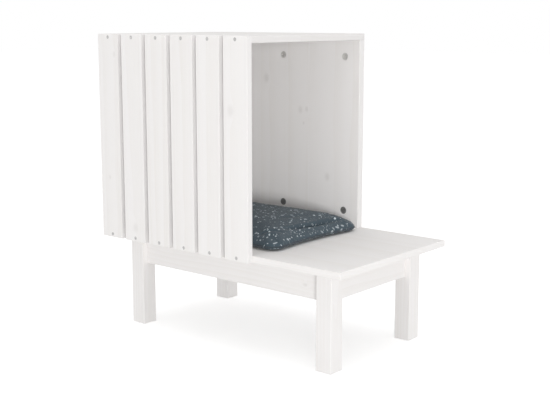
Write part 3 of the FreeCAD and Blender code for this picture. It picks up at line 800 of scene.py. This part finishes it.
@dataclass
class Bench:
    """Bench top, legs, aprons, corner blocks and what fastens them."""

    corners: tuple[str, ...] = ("front_left", "front_right", "rear_right", "rear_left")
    leg_middle_mm: float = 243.0  # from the middle of the bench, to the front and to the rear
    height_mm: float = 200.0

    def dress(self, plated: Material, sawn: Material) -> None:
        """Gives every piece its finish.

        Args:
            plated: Plated steel, for screws, bolts, washers and nuts.
            sawn: Sawn wood, for the corner blocks.
        """
        top_paint = PaintedPine(
            "white_painted_pine_bench_top",
            grain=Axis.Y,
            across=Axis.X,
            stave_mm=BOARD_STAVE_MM,
            start_mm=BOARDS_LEFT_MM,
            knots=(Knot(10.0, 60.0, 9.0),),
        )
        # A leg is glued from two staves, with the joint down its middle.
        leg_paint = PaintedPine(
            "white_painted_pine_legs",
            grain=Axis.Z,
            across=Axis.Y,
            stave_mm=2 * self.leg_middle_mm,
            start_mm=-self.leg_middle_mm,
        )
        long_paint = PaintedPine(
            "white_painted_pine_long_aprons",
            grain=Axis.Y,
            across=Axis.Z,
            stave_mm=self.height_mm,
            knots=(Knot(153.0, -192.0, 4.0),),
        )
        short_paint = PaintedPine(
            "white_painted_pine_short_aprons",
            grain=Axis.X,
            across=Axis.Z,
            stave_mm=self.height_mm,
        )
        dress(["bench_top"], top_paint.build())
        dress([f"leg_{corner}" for corner in self.corners], leg_paint.build())
        dress(["apron_left", "apron_right"], long_paint.build())
        dress(["apron_front", "apron_rear"], short_paint.build())
        dress([f"corner_block_{corner}" for corner in self.corners], sawn)
        dress(["block_screws", "top_screws", "hanger_bolts", "hanger_washers", "hanger_nuts"], plated)


@dataclass(frozen=True)
class Fold:
    """A soft fold in the cover, from one place on its top to another."""

    start_mm: tuple[float, float]
    end_mm: tuple[float, float]
    depth_mm: float
    width_mm: float
    taper: float = 0.7  # power of the fade towards both ends

    def depth_at(self, place: Vector) -> float:
        """Tells how far the fold draws the cover in.

        Args:
            place: A point seen from above, with a height of 0.

        Returns:
            The depth there, below 0 where the cloth bulges beside the fold.
        """
        start, end = (Vector((*corner, 0.0)) * MM for corner in (self.start_mm, self.end_mm))
        foot, share = geometry.intersect_point_line(place, start, end)
        if not 0.0 < share < 1.0:
            return 0.0
        away = ((place - foot).length / (self.width_mm * MM)) ** 2
        fade = math.sin(math.pi * share) ** self.taper
        return self.depth_mm * MM * fade * (1.0 - away) * math.exp(-away)


@dataclass(frozen=True)
class Filling:
    """The wadding that swells the cover, as settings of the cloth simulation."""

    pressure: float = 4.0
    frames: int = 20
    quality: int = 6
    mass: float = 0.15
    stiffness: float = 12.0
    bending: float = 0.3
    hold: float = 0.9  # how firmly the seam keeps its place
    cap: float = 6.0 * MM  # how far the cover may move
    lump: float = 1.1 * MM  # how far it is uneven
    lump_reach: float = 48.0 * MM


@dataclass(frozen=True)
class Seam:
    """The seam round the cushion, which draws the cover in, and the rolled edge along it."""

    height: float = 8.0 * MM  # over the underside
    groove: float = 1.6 * MM
    groove_reach: float = 4.0 * MM
    pucker: float = 0.7 * MM
    pucker_reach: float = 12.0 * MM
    pucker_pitch: float = 19.0 * MM
    pucker_swell: float = 2.7  # pitches over which puckers grow and fade
    slack_share: float = 0.5  # share of the half width, from the middle, that the seam leaves alone
    welt_radius: float = 1.4 * MM
    welt_facets: int = 2


@dataclass
class Cushion:
    """The loose cushion, sewn from two panels and filled."""

    node: str = "cushion"
    slot: str = "cushion_fabric"
    body: str = "cushion"
    fill: float = 0.6
    filling: Filling = Filling()
    seam: Seam = Seam()
    weld: float = 0.01 * MM
    start_inset: float = 1.5 * MM  # how much smaller than its solid the cover starts
    voxel: float = 5.0 * MM
    folds: tuple[Fold, ...] = (
        Fold((-62.0, -84.0), (112.0, -95.0), 8.0, 5.0),
        Fold((-108.0, -62.0), (-70.0, -96.0), 2.6, 5.0),
        Fold((118.0, -64.0), (84.0, -92.0), 2.8, 5.0),
        Fold((-104.0, -20.0), (-98.0, 150.0), 4.0, 6.0),
        Fold((128.0, 10.0), (124.0, 190.0), 3.6, 6.0),
        Fold((-80.0, 232.0), (90.0, 226.0), 4.0, 6.0),
        Fold((-96.0, 205.0), (-62.0, 230.0), 2.6, 5.0),
        Fold((122.0, 204.0), (92.0, 232.0), 2.6, 5.0),
        Fold((-30.0, -40.0), (52.0, -58.0), 2.0, 10.0),
        Fold((10.0, 120.0), (74.0, 96.0), 1.8, 11.0),
    )
    low: Vector = field(init=False)
    high: Vector = field(init=False)
    seam_level: float = field(init=False)

    def __post_init__(self) -> None:
        """Takes the box of the solid, and the level of the seam in it."""
        self.low, self.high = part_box(self.node)
        self.seam_level = self.low.z + self.seam.height

    def build(self) -> Piece:
        """Makes the cover from its solid, swells it and sews it.

        Returns:
            The finished cushion.
        """
        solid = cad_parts[self.node]
        cover = bpy.data.objects.new("cushion_cover", solid.data.copy())
        bpy.context.collection.objects.link(cover)
        select_only(cover)
        bpy.ops.object.mode_set(mode="EDIT")
        bpy.ops.mesh.select_all(action="SELECT")
        bpy.ops.mesh.remove_doubles(threshold=self.weld)
        bpy.ops.transform.shrink_fatten(value=-self.start_inset)
        bpy.ops.object.mode_set(mode="OBJECT")
        cover.data.remesh_voxel_size = self.voxel
        bpy.ops.object.voxel_remesh()
        self.swell(cover)
        halving = cover.modifiers.new("finer", "SUBSURF")
        halving.levels = halving.render_levels = 1
        bpy.ops.object.modifier_apply(modifier=halving.name)
        self.crumple(cover)
        self.sew(cover)
        self.rest(cover)
        bpy.ops.object.shade_smooth()
        return cover

    def swell(self, cover: Piece) -> None:
        """Fills the cover by cloth simulation, and applies the result.

        Args:
            cover: The cover, still slack.
        """
        filling = self.filling
        held = cover.vertex_groups.new(name="held")
        for vertex in cover.data.vertices:
            if abs(vertex.co.z - self.seam_level) < self.voxel / 2:
                held.add([vertex.index], filling.hold, "ADD")
        before = [vertex.co.copy() for vertex in cover.data.vertices]
        cloth = cover.modifiers.new("filling", "CLOTH")
        cloth.settings.quality = filling.quality
        cloth.settings.mass = filling.mass
        cloth.settings.tension_stiffness = filling.stiffness
        cloth.settings.compression_stiffness = filling.stiffness
        cloth.settings.bending_stiffness = filling.bending
        cloth.settings.use_pressure = True
        cloth.settings.uniform_pressure_force = filling.pressure
        cloth.settings.vertex_group_mass = held.name
        cloth.settings.effector_weights.gravity = 0.0
        cloth.point_cache.frame_start = 1
        cloth.point_cache.frame_end = filling.frames
        scene = bpy.context.scene
        for number in range(1, filling.frames + 1):
            scene.frame_set(number)
        bpy.ops.object.modifier_apply(modifier=cloth.name)
        scene.frame_set(1)
        for vertex, start in zip(cover.data.vertices, before):
            move = vertex.co - start
            if move.length > filling.cap:
                vertex.co = start + move * (filling.cap / move.length)
        cover.vertex_groups.clear()

    def crumple(self, cover: Piece) -> None:
        """Presses the folds into the cover's top, and makes the filling under it a little uneven.

        Args:
            cover: The swollen cover.
        """
        moves = []
        for vertex in cover.data.vertices:
            rise = min(max((vertex.co.z - self.seam_level) / self.seam.height, 0.0), 1.0)
            move = self.filling.lump * noise.noise(vertex.co / self.filling.lump_reach)
            for fold in self.folds:
                move -= fold.depth_at(vertex.co.xy.to_3d())
            moves.append(vertex.normal * move * rise)
        for vertex, move in zip(cover.data.vertices, moves):
            vertex.co += move

    def sew(self, cover: Piece) -> None:
        """Draws the cover in along its seam, with small puckers on both sides of it.

        Args:
            cover: The crumpled cover.
        """
        seam = self.seam
        middle = (self.low + self.high) / 2
        slack = seam.slack_share * (self.high.x - self.low.x) / 2
        for vertex in cover.data.vertices:
            out = Vector((vertex.co.x - middle.x, vertex.co.y - middle.y, 0.0))
            if out.length < slack:
                continue
            rise = vertex.co.z - self.seam_level
            run = math.atan2(out.y, out.x) * out.length
            draw = seam.groove * math.exp(-((rise / seam.groove_reach) ** 2))
            wave = math.sin(2 * math.pi * run / seam.pucker_pitch)
            wave *= math.sin(run / (seam.pucker_swell * seam.pucker_pitch))
            draw += seam.pucker * wave * math.exp(-((rise / seam.pucker_reach) ** 2))
            vertex.co -= out.normalized() * draw

    def rest(self, cover: Piece) -> None:
        """Flattens the cover where it lies on the floor.

        Args:
            cover: The sewn cover.
        """
        for vertex in cover.data.vertices:
            vertex.co.z = max(vertex.co.z, self.low.z)

    def build_welt(self, cover: Piece) -> Piece:
        """Makes the rolled edge of cloth that runs round the seam.

        Args:
            cover: The finished cushion.

        Returns:
            The rolled edge.
        """
        welt = bpy.data.objects.new("cushion_seam_welt", cover.data.copy())
        bpy.context.collection.objects.link(welt)
        select_only(welt)
        bpy.ops.object.mode_set(mode="EDIT")
        bpy.ops.mesh.select_all(action="SELECT")
        bpy.ops.mesh.bisect(
            plane_co=(0.0, 0.0, self.seam_level),
            plane_no=(0.0, 0.0, 1.0),
            clear_inner=True,
            clear_outer=True,
        )
        bpy.ops.object.mode_set(mode="OBJECT")
        bpy.ops.object.convert(target="CURVE")
        welt.data.bevel_depth = self.seam.welt_radius
        welt.data.bevel_resolution = self.seam.welt_facets
        bpy.ops.object.convert(target="MESH")
        bpy.ops.object.shade_smooth()
        return welt

    def place(self) -> None:
        """Builds the cushion, dresses it and puts it on its body."""
        cover = self.build()
        welt = self.build_welt(cover)
        cloth = FleckedWeave("slate_flecked_polyester_weave").build()
        edge = FleckedWeave(
            "slate_polyester_seam_edge", cloth="#3F4951", cloth_shade="#343D44", fleck="#7F8A92"
        ).build()
        for piece, material in ((cover, cloth), (welt, edge)):
            piece.data.materials.clear()
            piece.data.materials.append(material)
            LOG.info("%s: %d faces", piece.name, len(piece.data.polygons))
        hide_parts(self.node)
        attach(cover, self.body)
        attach(welt, self.body)


@dataclass(frozen=True)
class Softbox:
    """A large lamp behind white cloth."""

    name: str
    place: tuple[float, float, float]
    sides: tuple[float, float]
    watts: float


@dataclass
class Studio:
    """Pale floor, soft light and the camera."""

    floor_size: float = 30.0
    floor_paint: str = "#E6E6E6"
    floor_glow: float = 0.5
    sky: float = 0.69  # light of the white surroundings, which look brighter than they shine
    softboxes: tuple[Softbox, ...] = (
        Softbox("front_softbox", place=(-3.36, -3.7, 0.45), sides=(1.4, 1.0), watts=101.0),
        Softbox("top_softbox", place=(0.0, 0.0, 3.0), sides=(3.0, 3.0), watts=24.0),
    )
    aim: tuple[float, float, float] = (0.0, 0.0, 0.35)
    camera_place: tuple[float, float, float] = (-1.5507, -1.3131, 0.6316)
    camera_yaw: float = 50.04  # degrees, from the rear to the right
    camera_pitch: float = 9.8  # degrees, downwards
    focal_pixels: float = 1026.8
    frame_pixels: float = 550.0
    sensor_mm: float = 36.0
    shift: float = -0.02

    def add_floor(self) -> None:
        """Adds the floor, white to the eye and keeping the object's shadow."""
        bpy.ops.object.select_all(action="DESELECT")
        bpy.ops.mesh.primitive_plane_add(size=self.floor_size)
        floor = bpy.context.active_object
        floor.name = "studio_floor"
        material = empty_material("studio_floor_white")
        tree = material.node_tree
        seen = self.add_seen(tree)
        lit = add_node(tree, "BsdfDiffuse", {"Color": hex_to_linear(self.floor_paint)}).outputs[0]
        strength = add_node(tree, "Math", {0: seen, 1: self.floor_glow}, operation="MULTIPLY").outputs[0]
        glow = add_node(tree, "Emission", {"Strength": strength}).outputs[0]
        both = add_node(tree, "AddShader", {0: lit, 1: glow}).outputs[0]
        floor.data.materials.append(finish_material(material, both))

    def add_seen(self, tree: Tree) -> Socket:
        """Adds the nodes that tell rays of the eye, of gloss and of glass from those that light the object.

        Args:
            tree: The node tree to add to.

        Returns:
            An output that is 1 for such a ray and 0 for the rest.
        """
        rays = add_node(tree, "LightPath").outputs
        seen = rays["Is Camera Ray"]
        for name in ("Is Glossy Ray", "Is Transmission Ray"):
            seen = add_node(tree, "Math", {0: seen, 1: rays[name]}, operation="MAXIMUM").outputs[0]
        return seen

    def add_light(self) -> None:
        """Adds the white surroundings and the soft lamps."""
        world = bpy.data.worlds.new("studio")
        bpy.context.scene.world = world
        world.use_nodes = True
        tree = world.node_tree
        tree.nodes.clear()
        seen = self.add_seen(tree)
        strength = add_node(tree, "MapRange", {"Value": seen, "To Min": self.sky, "To Max": 1.0}).outputs[0]
        white = add_node(
            tree, "Background", {"Color": (1.0, 1.0, 1.0, 1.0), "Strength": strength}
        ).outputs[0]
        add_node(tree, "OutputWorld", {"Surface": white})
        for softbox in self.softboxes:
            bpy.ops.object.light_add(type="AREA", location=softbox.place)
            lamp = bpy.context.active_object
            lamp.name = softbox.name
            lamp.data.energy = softbox.watts
            lamp.data.shape = "RECTANGLE"
            lamp.data.size, lamp.data.size_y = softbox.sides
            lamp.rotation_euler = (Vector(self.aim) - lamp.location).to_track_quat("-Z", "Y").to_euler()

    def add_camera(self) -> None:
        """Adds the camera where the photograph was taken from."""
        bpy.ops.object.camera_add(
            location=self.camera_place,
            rotation=(math.radians(90.0 - self.camera_pitch), 0.0, math.radians(-self.camera_yaw)),
        )
        camera = bpy.context.active_object
        camera.data.sensor_width = self.sensor_mm
        camera.data.lens = self.focal_pixels / self.frame_pixels * self.sensor_mm
        camera.data.shift_y = self.shift
        bpy.context.scene.camera = camera

    def build(self) -> None:
        """Sets up floor, light, camera and the plain view of colours."""
        self.add_floor()
        self.add_light()
        self.add_camera()
        bpy.context.scene.view_settings.view_transform = "Standard"
        LOG.info("studio set")


def main() -> None:
    """Dresses the solids, builds the cushion and sets up the studio."""
    logging.basicConfig(level=logging.INFO, format="%(message)s")
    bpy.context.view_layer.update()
    plated = ZincMetal(
        "zinc_plated_steel",
        bright="#D6D5D4",
        dull="#B4B3B3",
        cloud_mm=3.0,
        grit_mm=0.4,
        smooth=0.3,
        rough=0.46,
    ).build()
    cast = ZincMetal(
        "cast_zinc_alloy",
        bright="#F2F1EF",
        dull="#D9D8D6",
        cloud_mm=5.0,
        grit_mm=0.7,
        smooth=0.55,
        rough=0.75,
        # The lower row of cam locks gets the painted dark reflection.
        painted_reflection_below_mm=400.0,
    ).build()
    turned = BareWood("turned_beech", light="#D9B58C", dark="#C39A6E", grain=Axis.Z).build()
    sawn = BareWood("sawn_pine", light="#E3C79B", dark="#CFA872", grain=Axis.Z).build()
    House().dress(plated, cast, turned)
    Bench().dress(plated, sawn)
    Cushion().place()
    Studio().build()


if __name__ == "__main__":
    main()
